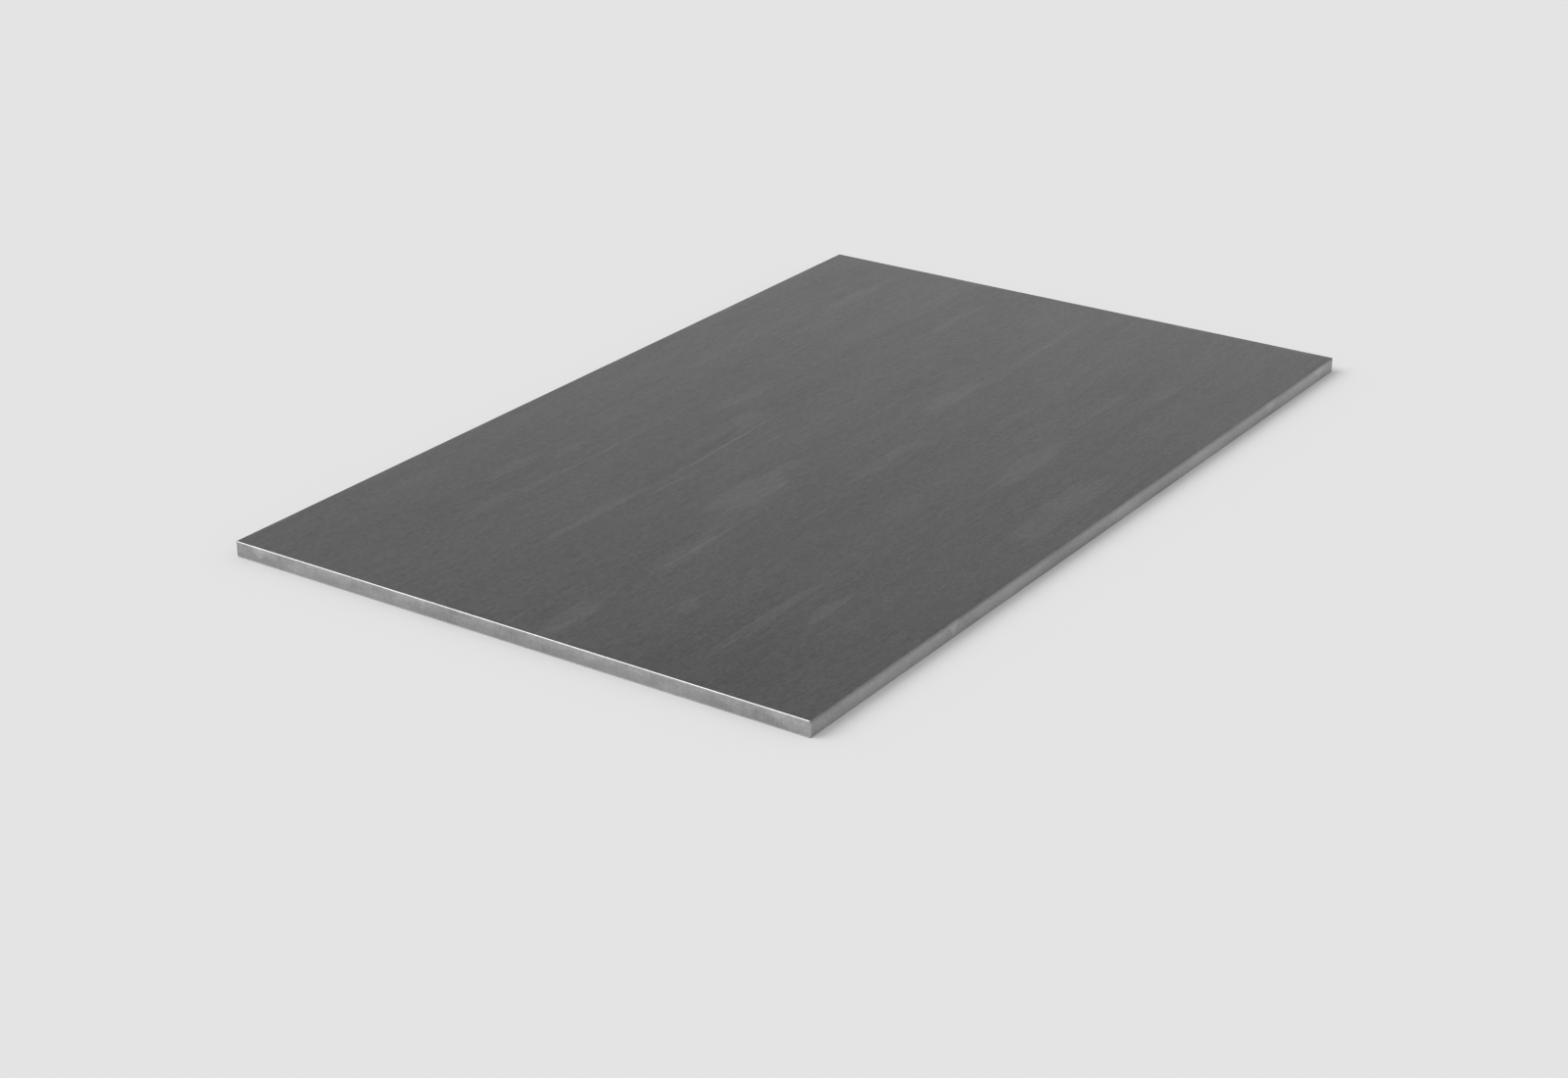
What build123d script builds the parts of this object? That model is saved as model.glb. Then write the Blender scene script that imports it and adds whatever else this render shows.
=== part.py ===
"""Hot-rolled steel plate, cut to a rectangle and lying flat. Millimetres, +Z up.

The plate is one piece of stock. Its origin is the centre of its underside, +X runs along its
length, which is the direction it was rolled in, and +Y runs across its width.
"""

import os

from build123d import *

# Driving dimensions
plate_length = 1600.0
plate_width = 1000.0
plate_thickness = 25.0

# Radius that every sharp edge is rounded to after cutting: both rims and the four upright corners
edge_radius = 2.0

# Plate: the cut outline, raised to the rolled thickness, with its edges broken
with BuildPart() as steel_plate:
    with BuildSketch(Plane.XY):
        Rectangle(plate_length, plate_width)
    extrude(amount=plate_thickness)
    fillet(steel_plate.edges(), radius=edge_radius)

steel_plate.part.label = "steel_plate"

os.makedirs("parts", exist_ok=True)
export_step(steel_plate.part, "parts/steel_plate.step")
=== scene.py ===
"""Looks of a hot-rolled steel plate that lies flat on a pale studio floor.

Metres and degrees, in the frame of the part: the origin is the centre of the underside, +X runs
along the rolling direction and +Z is up. A tone is a linear grey, and a share is a share of the
tone where nothing else is named.
"""

import math

import bpy
import numpy as np
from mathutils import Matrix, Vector, noise


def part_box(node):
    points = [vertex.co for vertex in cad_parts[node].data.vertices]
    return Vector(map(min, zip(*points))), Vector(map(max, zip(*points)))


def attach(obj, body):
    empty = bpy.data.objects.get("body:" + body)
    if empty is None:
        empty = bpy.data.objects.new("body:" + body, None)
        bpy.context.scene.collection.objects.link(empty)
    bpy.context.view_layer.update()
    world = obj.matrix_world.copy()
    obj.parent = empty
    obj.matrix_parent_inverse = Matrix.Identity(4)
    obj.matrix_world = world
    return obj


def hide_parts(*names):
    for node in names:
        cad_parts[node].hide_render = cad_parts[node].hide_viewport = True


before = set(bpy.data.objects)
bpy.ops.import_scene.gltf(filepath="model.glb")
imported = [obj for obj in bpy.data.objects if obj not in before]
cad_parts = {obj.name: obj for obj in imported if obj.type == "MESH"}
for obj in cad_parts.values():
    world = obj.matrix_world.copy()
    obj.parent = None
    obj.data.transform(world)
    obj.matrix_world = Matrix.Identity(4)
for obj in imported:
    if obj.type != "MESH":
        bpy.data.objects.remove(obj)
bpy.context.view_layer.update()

MM = 0.001

# Plate, from the frame, and the radius of its hand-broken edges, which changes along them
PLATE_LOW, PLATE_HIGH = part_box("steel_plate")
PLATE_TOP = PLATE_HIGH.z
EDGE_RADIUS = 2.0 * MM
RADIUS_CHANGE_SHARE = 0.15
RADIUS_CHANGE_LENGTH = 60 * MM

# Grid of the plate's mesh: its pitch on the rolled faces and up the cut edges, and the steps in
# half of a rounded edge
FACE_PITCH = 12.5 * MM
EDGE_PITCH = 3 * MM
ARC_STEPS = 4

# Where each face lies on the map that the looks are baked to: left, bottom, and the map's share
# for a metre along the face's two axes. A face is named by the axis that it lies across and the
# end of that axis.
MAP_NAME = "OFBake"
MAP_PLACES = {
    ("z", "high"): (0.006, 0.006, 0.56, 0.56),
    ("z", "low"): (0.006, 0.664, 0.33, 0.33),
    ("y", "low"): (0.908, 0.006, 1.60, 0.56),
    ("y", "high"): (0.954, 0.006, 1.60, 0.56),
    ("x", "low"): (0.006, 0.572, 0.56, 1.60),
    ("x", "high"): (0.006, 0.618, 0.56, 1.60),
}

# Camera: the point of the top face in the middle of the picture, where the camera stands from it,
# and its lens in millimetres
CAMERA_AIM = (-0.3492, -0.1537)
CAMERA_DISTANCE = 4.0762
CAMERA_ELEVATION = 23.978
CAMERA_TURN = -55.863
CAMERA_LENS = 64.517

# Light: an even pale room, and one large soft lamp up on the left
ROOM_LIGHT = 0.66
BACKGROUND = 0.775
LAMP_FROM = (-0.45, 0.55, 0.70)
LAMP_STRENGTH = 1.53
LAMP_ANGLE = 46
FLOOR_SIZE = 80.0

# Noise: its middle value, and how many finer layers it has
NOISE_MIDDLE = 0.5
NOISE_DETAIL = 3.0

# Mill scale of the two rolled faces, and its fine relief
SCALE_TONE = 0.060
SCALE_METALLIC = 0.6
SCALE_ROUGHNESS = 0.24
PEEL_SIZE = (0.010, 0.006, 0.006)
PEEL_HEIGHT = 0.06 * MM

# Streaks and grain of the scale: size, the share that they change, and the change of roughness
SCALE_STREAKS = [
    ((0.45, 0.070, 0.070), 0.15, -0.05),
    ((0.20, 0.014, 0.014), 0.13, -0.05),
    ((0.05, 0.0035, 0.0035), 0.25, -0.03),
    ((0.0080, 0.0045, 0.0045), 0.60, 0.0),
]

# Marks of the top face: the share that each kind adds, and its outline, which is where a mark starts
# and where it is whole, with 0 in its middle and 1 on its edge
RUBBED_SHARE = 0.38
RUBBED_OUTLINE = (1.30, 0.70)
DARK_SHARE = -0.16
DARK_OUTLINE = (1.50, 0.40)
SCRATCH_SHARE = 0.90
SCRATCH_OUTLINE = (1.50, 0.55)
SCRATCH_WIDTH = 2.5 * MM
MARK_DEPTH = PLATE_TOP / 4

# Along the rolling direction, rubbed and dark marks fray and their outlines break up into wisps
FRAY_SIZE = (0.09, 0.008, 0.008)
FRAY_REACH = (0.16, 0.026, 0.0)
WISP_SIZE = (0.08, 0.005, 0.005)
WISP_REACH = 0.50

# Places on the top face where the scale is rubbed paler: start x, end x, y, width, strength
RUBBED = [
    (-0.330, -0.150, -0.015, 0.072, 1.00),
    (-0.160, -0.070, -0.005, 0.022, 0.55),
    (-0.400, -0.325, -0.045, 0.030, 0.50),
    (-0.550, -0.400, -0.067, 0.036, 0.65),
    (-0.800, -0.660, -0.060, 0.032, 0.90),
    (-0.645, -0.575, -0.168, 0.030, 0.70),
    (-0.720, -0.455, -0.285, 0.020, 0.80),
    (-0.570, -0.455, -0.340, 0.022, 0.85),
    (-0.165, -0.040, -0.438, 0.045, 0.75),
    (-0.070, 0.090, -0.430, 0.048, 0.90),
    (0.000, 0.205, -0.307, 0.045, 0.80),
    (-0.540, -0.420, 0.283, 0.022, 0.65),
    (-0.440, -0.320, 0.273, 0.022, 0.50),
    (-0.535, -0.310, 0.128, 0.021, 0.90),
    (-0.040, 0.050, 0.157, 0.046, 0.65),
    (0.015, 0.155, 0.222, 0.028, 0.75),
    (0.200, 0.355, -0.060, 0.032, 0.80),
    (0.455, 0.700, -0.070, 0.022, 0.25),
    (0.290, 0.430, -0.290, 0.012, 0.45),
    (0.430, 0.545, -0.337, 0.028, 0.45),
    (-0.110, 0.085, -0.115, 0.022, 0.65),
    (0.505, 0.700, 0.128, 0.018, 0.75),
    (-0.405, -0.295, 0.347, 0.028, 0.75),
    (-0.285, -0.215, 0.320, 0.030, 0.80),
    (-0.045, 0.075, 0.472, 0.024, 0.50),
    (-0.550, -0.415, 0.435, 0.022, 0.35),
    (-0.210, -0.100, 0.462, 0.022, 0.30),
    (0.100, 0.270, 0.383, 0.022, 0.40),
    (0.530, 0.710, 0.343, 0.028, 0.85),
    (0.360, 0.500, 0.312, 0.032, 0.30),
    (0.390, 0.520, 0.227, 0.032, 0.35),
    (-0.155, -0.030, 0.163, 0.018, 0.40),
    (-0.210, -0.110, 0.055, 0.032, 0.25),
    (0.190, 0.320, -0.188, 0.016, 0.20),
    (-0.220, -0.100, -0.243, 0.016, 0.50),
    (0.630, 0.740, -0.415, 0.022, 0.25),
]

# Patches of the top face where the scale is darker: start x, end x, y, width, strength
DARK = [
    (-0.290, -0.050, 0.138, 0.024, 0.8),
    (0.030, 0.210, 0.157, 0.075, 0.6),
    (0.460, 0.600, 0.170, 0.050, 1.0),
    (-0.950, -0.560, -0.295, 0.240, 0.8),
    (-0.250, 0.250, -0.170, 0.080, 0.5),
    (0.130, 0.250, 0.310, 0.026, 0.5),
    (0.100, 0.550, -0.362, 0.022, 0.5),
]

# Thin pale scratches of the top face: start x, start y, end x, end y, strength
SCRATCHES = [
    (-0.245, 0.121, 0.030, 0.130, 1.0),
    (-0.310, 0.268, -0.060, 0.268, 0.7),
    (-0.315, 0.107, -0.205, 0.100, 0.8),
    (0.090, 0.003, 0.285, 0.003, 0.6),
    (-0.075, 0.078, 0.005, 0.078, 0.6),
    (-0.795, 0.002, -0.725, 0.002, 0.6),
    (-0.550, -0.068, -0.315, -0.068, 0.7),
    (-0.275, -0.145, -0.195, -0.145, 0.5),
    (0.455, -0.070, 0.705, -0.070, 0.6),
    (0.690, -0.140, 0.795, -0.142, 0.5),
]

# Bare steel of the cut edges, the share of its tone that it has all over, and the sizes and shares
# of the noise that changes it
CUT_TONE = 0.36
CUT_METALLIC = 0.5
CUT_ROUGHNESS = 0.42
CUT_BASE_SHARE = 0.86
CUT_BROAD_SIZE = (0.250, 0.250, 0.250)
CUT_BROAD_SHARE = 0.40
MOTTLE_SIZE = (0.040, 0.040, 0.014)
MOTTLE_SHARE = 0.14
SMALL_MOTTLE_SIZE = (0.010, 0.010, 0.007)
CUT_GRAIN_SIZE = (0.0080, 0.0045, 0.0045)
CUT_GRAIN_SHARE = 0.20
CUT_LINE_SIZE = (0.0022, 0.0022, 0.012)
CUT_LINE_SHARE = 0.12
CUT_LINE_HEIGHT = 0.02 * MM

# Paler steel towards the top of the two ends: the share that it adds, the levels where it starts and
# where it is whole, with 0 at the underside and 1 at the top, and how far the two mottles move them.
# The long sides are pale to the same degree all over.
PALE_SHARE = 0.22
PALE_LEVELS = (0.25, 1.1)
MOTTLE_REACH = 0.8
SMALL_MOTTLE_REACH = 0.5
PALE_ON_SIDES = 0.55

# Pale patches that hang from the upper rim on the cut edges: x, y, size along x, size along y, depth,
# strength. Half of WRAP is how far a patch reaches round a corner, or into the face behind it.
WRAP = 8 * MM
HANGING = [
    (PLATE_LOW.x, 0.455, WRAP, 0.040, 0.021, 1.0),
    (PLATE_LOW.x, 0.150, WRAP, 0.070, 0.014, 0.5),
    (PLATE_LOW.x, -0.490, WRAP, 0.320, 0.040, 0.52),
    (-0.448, PLATE_LOW.y, 0.036, WRAP, 0.023, 1.0),
    (0.555, PLATE_LOW.y, 0.060, WRAP, 0.022, 0.8),
    (0.745, PLATE_LOW.y, 0.090, WRAP, 0.022, 0.6),
]

# What these patches have in common: the share that they add, their outline, as for the marks, how
# ragged it is, and the strengths at which they start to show and show in full
HANGING_SHARE = 0.24
HANGING_OUTLINE = (1.2, 0.3)
HANGING_RAGGEDNESS = 0.25
HANGING_BORDER = (0.1, 0.6)

# Long sides: how near to one a place starts to belong to it, and how near it wholly does
SIDE_BAND = (1.3 * EDGE_RADIUS, EDGE_RADIUS)

# Where the scale starts to give way to bare steel and where it is gone, by the parts of the normal
# that point up and sideways, and how far down and how thickly it is dragged over the long sides' rims
# and the tops of the long sides, which darkens them: partly scale and partly painted shade
SCALE_END_UPRIGHT = (0.94, 0.66)
SCALE_END_SIDEWAYS = (0.05, 0.80)
SIDE_SCALE_AND_SHADE_DEPTH = 7 * MM
SIDE_SCALE_AND_SHADE_SHARE = 0.55

# Rims of the two ends, rubbed bright and partly a painted highlight where the lamp glints, which the
# long sides' rims lack: where the shine rises above the cut face and fades out below the rolled one,
# by the part of the normal that points up. The upright corners have a share of that shine and painted
# highlight, which rises with the product of the parts of the normal that point endways and sideways.
RIM_WEAR_AND_HIGHLIGHT_TONE = 0.76
RIM_METALLIC = 1.0
RIM_ROUGHNESS = 0.32
RIM_FOOT = (0.05, 0.32)
RIM_HEAD = (0.74, 0.46)
CORNER_BAND = (0.10, 0.35)
CORNER_HIGHLIGHT_SHARE = 0.10


class Graph:
    """Adds nodes to a tree. An input is a number, a tuple or another node's output."""

    def __init__(self, tree):
        self.tree = tree
        self.tree.nodes.clear()

    def node(self, kind, inputs, output=0, **settings):
        node = self.tree.nodes.new(kind)
        for name, value in settings.items():
            setattr(node, name, value)
        for name, value in inputs.items():
            if isinstance(value, bpy.types.NodeSocket):
                self.tree.links.new(value, node.inputs[name])
            else:
                node.inputs[name].default_value = value
        return node.outputs[output] if node.outputs else None

    def math(self, operation, a, b=0.0):
        return self.node("ShaderNodeMath", {0: a, 1: b}, operation=operation)

    def absolute(self, value):
        return self.math("ABSOLUTE", value)

    def times(self, first, *others):
        for value in others:
            first = self.math("MULTIPLY", first, value)
        return first

    def total(self, first, *others):
        for value in others:
            first = self.math("ADD", first, value)
        return first

    def strongest(self, first, *others):
        for value in others:
            first = self.math("MAXIMUM", first, value)
        return first

    def remainder(self, share):
        """What a share leaves of 1."""
        return self.math("SUBTRACT", 1.0, share)

    def vector(self, operation, a, b=(0.0, 0.0, 0.0), output=0):
        return self.node("ShaderNodeVectorMath", {0: a, 1: b}, output, operation=operation)

    def part(self, vector, axis):
        return self.node("ShaderNodeSeparateXYZ", {"Vector": vector}, axis)

    def spread(self, value, low, high, to_low=0.0, to_high=1.0, way="SMOOTHSTEP"):
        """value's range from low to high, spread over to_low to to_high and held there outside it."""
        inputs = {"Value": value, "From Min": low, "From Max": high, "To Min": to_low, "To Max": to_high}
        return self.node("ShaderNodeMapRange", inputs, interpolation_type=way)

    def mix(self, share, a, b):
        return self.node("ShaderNodeMix", {"Factor": share, "A": a, "B": b}, data_type="FLOAT")

    def grain(self, place, size, output=0):
        """Noise round its middle, whose patches are about as large as size, which is three lengths."""
        inputs = {"Vector": self.vector("DIVIDE", place, size), "Scale": 1.0, "Detail": NOISE_DETAIL}
        return self.node("ShaderNodeTexNoise", inputs, output)

    def sway(self, value, amount):
        """Noise as a change round 0, of up to about amount each way."""
        return self.times(self.math("SUBTRACT", value, NOISE_MIDDLE), amount / NOISE_MIDDLE)

    def in_unit(self, place, middle, sizes, turn=0.0):
        """place as seen from middle, in a frame that is turned about +Z, with sizes as its units."""
        inputs = {"Vector": place, "Location": middle, "Rotation": (0.0, 0.0, turn), "Scale": sizes}
        return self.node("ShaderNodeMapping", inputs, vector_type="TEXTURE")

    def from_middle(self, place, middle, half_sizes, turn=0.0):
        """Distance from the middle of an ellipsoid, which is 1 on its surface."""
        return self.vector("LENGTH", self.in_unit(place, middle, half_sizes, turn), output="Value")


def marks_on_top(graph, place, ragged, table, outline):
    """The strongest of a table's marks, which lie along the rolling direction on the top face."""
    found = []
    for start_x, end_x, y, width, strength in table:
        middle = ((start_x + end_x) / 2, y, PLATE_TOP)
        half_sizes = ((end_x - start_x) / 2, width / 2, MARK_DEPTH)
        away = graph.total(graph.from_middle(place, middle, half_sizes), ragged)
        found.append(graph.spread(away, *outline, 0.0, strength))
    return graph.strongest(*found)


def scratches_on_top(graph, place):
    """The strongest of the scratches, each of which is straight from its start to its end."""
    found = []
    for start_x, start_y, end_x, end_y, strength in SCRATCHES:
        middle = ((start_x + end_x) / 2, (start_y + end_y) / 2, PLATE_TOP)
        length = math.dist((start_x, start_y), (end_x, end_y))
        turn = math.atan2(end_y - start_y, end_x - start_x)
        away = graph.from_middle(place, middle, (length / 2, SCRATCH_WIDTH / 2, MARK_DEPTH), turn)
        found.append(graph.spread(away, *SCRATCH_OUTLINE, 0.0, strength, way="LINEAR"))
    return graph.strongest(*found)


def hanging_on_edges(graph, place):
    """The strongest of the patches that hang from the upper rim and narrow downwards."""
    found = []
    for x, y, x_size, y_size, depth, strength in HANGING:
        unit = graph.in_unit(place, (x, y, PLATE_TOP), (x_size / 2, y_size / 2, depth))
        from_rim = graph.vector("DOT_PRODUCT", graph.vector("ABSOLUTE", unit), (1.0, 1.0, 1.0), "Value")
        found.append(graph.spread(from_rim, *HANGING_OUTLINE, 0.0, strength, way="LINEAR"))
    return graph.strongest(*found)


def scale_finish(graph, place):
    """Tone, roughness and relief of the mill scale."""
    changes = [1.0]
    roughness = [SCALE_ROUGHNESS]
    for size, tone_share, roughness_change in SCALE_STREAKS:
        streak = graph.grain(place, size)
        changes.append(graph.sway(streak, tone_share))
        roughness.append(graph.sway(streak, roughness_change))

    fray = graph.vector("SUBTRACT", graph.grain(place, FRAY_SIZE, "Color"), (NOISE_MIDDLE,) * 3)
    frayed_place = graph.vector("ADD", place, graph.vector("MULTIPLY", fray, FRAY_REACH))
    wisp = graph.sway(graph.grain(place, WISP_SIZE), WISP_REACH)
    rubbed = marks_on_top(graph, frayed_place, wisp, RUBBED, RUBBED_OUTLINE)
    dark = marks_on_top(graph, frayed_place, wisp, DARK, DARK_OUTLINE)
    changes.append(graph.times(rubbed, RUBBED_SHARE))
    changes.append(graph.times(dark, DARK_SHARE))
    changes.append(graph.times(scratches_on_top(graph, place), SCRATCH_SHARE))

    tone = graph.times(graph.total(*changes), SCALE_TONE)
    relief = graph.sway(graph.grain(place, PEEL_SIZE), PEEL_HEIGHT)
    return tone, graph.total(*roughness), relief


def cut_finish(graph, place, side):
    """Tone and relief of the cut edges. The two ends are paler above, with a ragged border."""
    broad = graph.grain(place, CUT_BROAD_SIZE)
    mottle = graph.grain(place, MOTTLE_SIZE)
    small_mottle = graph.grain(place, SMALL_MOTTLE_SIZE)
    line = graph.grain(place, CUT_LINE_SIZE)
    grain = graph.grain(place, CUT_GRAIN_SIZE)

    ragged_level = graph.total(
        graph.math("DIVIDE", graph.part(place, "Z"), PLATE_TOP),
        graph.sway(mottle, MOTTLE_REACH),
        graph.sway(small_mottle, SMALL_MOTTLE_REACH),
    )
    pale = graph.mix(side, graph.spread(ragged_level, *PALE_LEVELS), PALE_ON_SIDES)
    hanging = graph.total(hanging_on_edges(graph, place), graph.sway(small_mottle, HANGING_RAGGEDNESS))
    hanging = graph.spread(hanging, *HANGING_BORDER)

    change = graph.total(
        CUT_BASE_SHARE,
        graph.times(pale, PALE_SHARE),
        graph.times(hanging, HANGING_SHARE),
        graph.sway(broad, CUT_BROAD_SHARE),
        graph.sway(mottle, MOTTLE_SHARE),
        graph.sway(line, CUT_LINE_SHARE),
        graph.sway(grain, CUT_GRAIN_SHARE),
    )
    return graph.times(change, CUT_TONE), graph.sway(line, CUT_LINE_HEIGHT)


def wear_and_painted_light(graph, place, side):
    """How far the steel is bare of scale, and how far it is also bright: rubbed, and partly a painted
    highlight on the ends' rims and upright corners.
    """
    normal = graph.node("ShaderNodeNewGeometry", {}, "Normal")
    endways, sideways, upright = (graph.absolute(graph.part(normal, axis)) for axis in "XYZ")

    bare = graph.strongest(
        graph.spread(upright, *SCALE_END_UPRIGHT), graph.spread(sideways, *SCALE_END_SIDEWAYS)
    )
    # Scale kept over the tops of the long sides darkens them: partly scale, partly painted shade
    scale_and_shade_on_sides = graph.spread(graph.part(place, "Z"), PLATE_TOP - SIDE_SCALE_AND_SHADE_DEPTH, PLATE_TOP, 0.0, SIDE_SCALE_AND_SHADE_SHARE)
    bare = graph.times(bare, graph.remainder(graph.times(side, scale_and_shade_on_sides)))

    # Rims of the ends and upright corners: rubbed bright, and partly a painted highlight where the lamp
    # glints
    above_foot, below_head = graph.spread(upright, *RIM_FOOT), graph.spread(upright, *RIM_HEAD)
    rim_wear_and_highlight = graph.times(above_foot, below_head, graph.remainder(side))
    corner_highlight = graph.spread(graph.times(endways, sideways), *CORNER_BAND)
    rubbed_and_highlight = graph.times(bare, graph.strongest(rim_wear_and_highlight, graph.times(corner_highlight, CORNER_HIGHLIGHT_SHARE)))
    return bare, rubbed_and_highlight


def plate_material():
    """Dark streaked mill scale on the rolled faces, paler bare steel on the cut edges, and bright steel
    on the ends' rims that is partly a painted highlight.
    """
    material = bpy.data.materials.new("mill_steel")
    material.use_nodes = True
    graph = Graph(material.node_tree)
    place = graph.node("ShaderNodeTexCoord", {}, "Object")
    from_side = graph.math("SUBTRACT", PLATE_HIGH.y, graph.absolute(graph.part(place, "Y")))
    side = graph.spread(from_side, *SIDE_BAND)

    scale_tone, scale_roughness, scale_relief = scale_finish(graph, place)
    cut_tone, cut_relief = cut_finish(graph, place, side)
    bare, rubbed_and_highlight = wear_and_painted_light(graph, place, side)
    # The bright tone of the ends' rims and corners is partly a painted highlight
    tone = graph.mix(bare, scale_tone, graph.mix(rubbed_and_highlight, cut_tone, RIM_WEAR_AND_HIGHLIGHT_TONE))
    relief = graph.mix(bare, scale_relief, cut_relief)
    surface = {
        "Base Color": graph.node("ShaderNodeCombineColor", {"Red": tone, "Green": tone, "Blue": tone}),
        "Metallic": graph.mix(bare, SCALE_METALLIC, graph.mix(rubbed_and_highlight, CUT_METALLIC, RIM_METALLIC)),
        "Roughness": graph.mix(bare, scale_roughness, graph.mix(rubbed_and_highlight, CUT_ROUGHNESS, RIM_ROUGHNESS)),
        "Normal": graph.node("ShaderNodeBump", {"Height": relief, "Strength": 1.0, "Distance": 1.0}),
    }
    shader = graph.node("ShaderNodeBsdfPrincipled", surface)
    graph.node("ShaderNodeOutputMaterial", {"Surface": shader})
    return material


def ticks(low, high, pitch):
    """Places along one axis: even ones on the flat, and even angles round each edge."""
    arc = EDGE_RADIUS * np.tan(np.linspace(0, math.pi / 4, ARC_STEPS + 1))
    count = round((high - low - 2 * EDGE_RADIUS) / pitch)
    flat = np.linspace(low + EDGE_RADIUS, high - EDGE_RADIUS, count + 1)
    return np.concatenate([low + EDGE_RADIUS - arc[:0:-1], flat, high - EDGE_RADIUS + arc[1:]])


def local_radius(point):
    """Radius of the edges near a point."""
    change = noise.noise(Vector(point) / RADIUS_CHANGE_LENGTH)
    return EDGE_RADIUS * (1 + RADIUS_CHANGE_SHARE * change)


def plate_mesh():
    """A box grid whose edges and corners are rounded, with the true normals of that shape."""
    axes = [
        ticks(PLATE_LOW.x, PLATE_HIGH.x, FACE_PITCH),
        ticks(PLATE_LOW.y, PLATE_HIGH.y, FACE_PITCH),
        ticks(PLATE_LOW.z, PLATE_HIGH.z, EDGE_PITCH),
    ]
    numbers, points, quads, on_map = {}, [], [], []

    def vertex(index):
        if index not in numbers:
            numbers[index] = len(points)
            points.append([axis[i] for axis, i in zip(axes, index)])
        return numbers[index]

    # Cells of each face of a sharp box, and where their corners lie on the map
    for (axis_name, side), (left, bottom, u_share, v_share) in MAP_PLACES.items():
        across = "xyz".index(axis_name)
        first, second = (across + 1) % 3, (across + 2) % 3
        end = len(axes[across]) - 1 if side == "high" else 0
        v_start = axes[second][0 if end else -1]
        for i in range(len(axes[first]) - 1):
            for j in range(len(axes[second]) - 1):
                corners = [(i, j), (i + 1, j), (i + 1, j + 1), (i, j + 1)]
                quad = []
                for a, b in corners if end else corners[::-1]:
                    index = [end, end, end]
                    index[first], index[second] = a, b
                    quad.append(vertex(tuple(index)))
                    on_map.append(left + u_share * (axes[first][a] - axes[first][0]))
                    on_map.append(bottom + v_share * abs(axes[second][b] - v_start))
                quads.append(quad)

    # Each vertex is drawn in to one radius from the box that lies a radius inside the plate
    points = np.array(points)
    radius = np.array([local_radius(point) for point in points])[:, None]
    inner = np.clip(points, np.array(PLATE_LOW) + radius, np.array(PLATE_HIGH) - radius)
    outward = points - inner
    outward /= np.linalg.norm(outward, axis=1)[:, None]
    mesh = bpy.data.meshes.new("plate")
    mesh.from_pydata((inner + radius * outward).tolist(), [], quads)
    mesh.uv_layers.new(name=MAP_NAME).data.foreach_set("uv", on_map)
    mesh.polygons.foreach_set("use_smooth", [True] * len(quads))
    mesh.normals_split_custom_set_from_vertices(outward.tolist())
    mesh.update()
    return mesh


def add(name, data):
    """A new object in the scene."""
    piece = bpy.data.objects.new(name, data)
    bpy.context.scene.collection.objects.link(piece)
    return piece


def plate():
    piece = add("plate", plate_mesh())
    piece.data.materials.append(plate_material())
    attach(piece, "root")
    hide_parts("steel_plate")


def floor():
    half = FLOOR_SIZE / 2
    corners = [(-half, -half, 0), (half, -half, 0), (half, half, 0), (-half, half, 0)]
    mesh = bpy.data.meshes.new("floor")
    mesh.from_pydata(corners, [], [(0, 1, 2, 3)])
    material = bpy.data.materials.new("studio_floor")
    material.use_nodes = True
    graph = Graph(material.node_tree)
    shader = graph.node("ShaderNodeBsdfDiffuse", {"Color": (BACKGROUND, BACKGROUND, BACKGROUND, 1.0)})
    graph.node("ShaderNodeOutputMaterial", {"Surface": shader})
    mesh.materials.append(material)
    add("floor", mesh)


def room():
    """Even light from all round. The camera and reflections see the floor's own tone past its edge."""
    world = bpy.data.worlds.new("room")
    world.use_nodes = True
    bpy.context.scene.world = world
    graph = Graph(world.node_tree)
    path = graph.tree.nodes.new("ShaderNodeLightPath").outputs
    seen = graph.strongest(path["Is Camera Ray"], path["Is Glossy Ray"], path["Is Transmission Ray"])
    level = graph.mix(seen, ROOM_LIGHT, BACKGROUND)
    shader = graph.node("ShaderNodeBackground", {"Color": (1.0, 1.0, 1.0, 1.0), "Strength": level})
    graph.node("ShaderNodeOutputWorld", {"Surface": shader})


def lamp():
    data = bpy.data.lights.new("soft_lamp", "SUN")
    data.energy = LAMP_STRENGTH
    data.angle = math.radians(LAMP_ANGLE)
    light = add("soft_lamp", data)
    light.rotation_euler = Vector(LAMP_FROM).to_track_quat("Z", "Y").to_euler()


def camera():
    data = bpy.data.cameras.new("camera")
    data.lens = CAMERA_LENS
    eye = add("camera", data)
    elevation, turn = math.radians(CAMERA_ELEVATION), math.radians(CAMERA_TURN)
    level = math.cos(elevation)
    back = Vector((math.sin(turn) * level, -math.cos(turn) * level, math.sin(elevation)))
    eye.location = Vector((*CAMERA_AIM, PLATE_TOP)) + CAMERA_DISTANCE * back
    eye.rotation_euler = (math.pi / 2 - elevation, 0.0, turn)
    bpy.context.scene.camera = eye


plate()
floor()
room()
lamp()
camera()
bpy.context.scene.view_settings.view_transform = "Standard"
